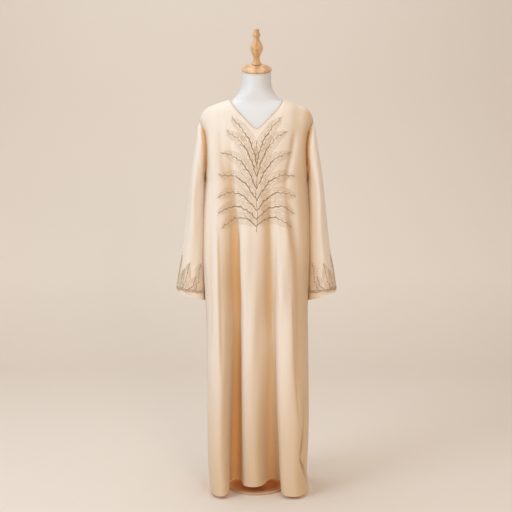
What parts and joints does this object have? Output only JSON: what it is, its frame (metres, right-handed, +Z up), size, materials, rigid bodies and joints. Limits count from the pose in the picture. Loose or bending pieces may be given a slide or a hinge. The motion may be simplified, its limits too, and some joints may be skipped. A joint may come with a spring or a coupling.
{
  "type": "thobe robe on dress form",
  "caption": "Loose floor-length robe with a V neck and wide straight sleeves, worn by a limbless dress form with a wooden neck cap and finial, on a pole and a round plate.",
  "frame": {"origin": "centre of the stand plate's underside, on the floor", "axes": "+Z up along the pole, -Y is the robe's front, +X is the robe's right side as seen from the front"},
  "size_m": [0.584, 0.2935, 1.6675],
  "materials": {
    "robe": "soft sand-beige crepe with a faint sheen",
    "form": "smooth matte white",
    "wood": "turned wood, satin varnish",
    "steel": "brushed",
    "plate": "warm brown satin paint"
  },
  "bodies": {
    "root": {"robe_front": "robe", "robe_back": "robe", "sleeve_left": "robe", "sleeve_right": "robe", "form_torso": "form", "neck_cap": "wood", "neck_finial": "wood", "stand_pole": "steel", "stand_plate": "plate"}
  },
  "joints": []
}
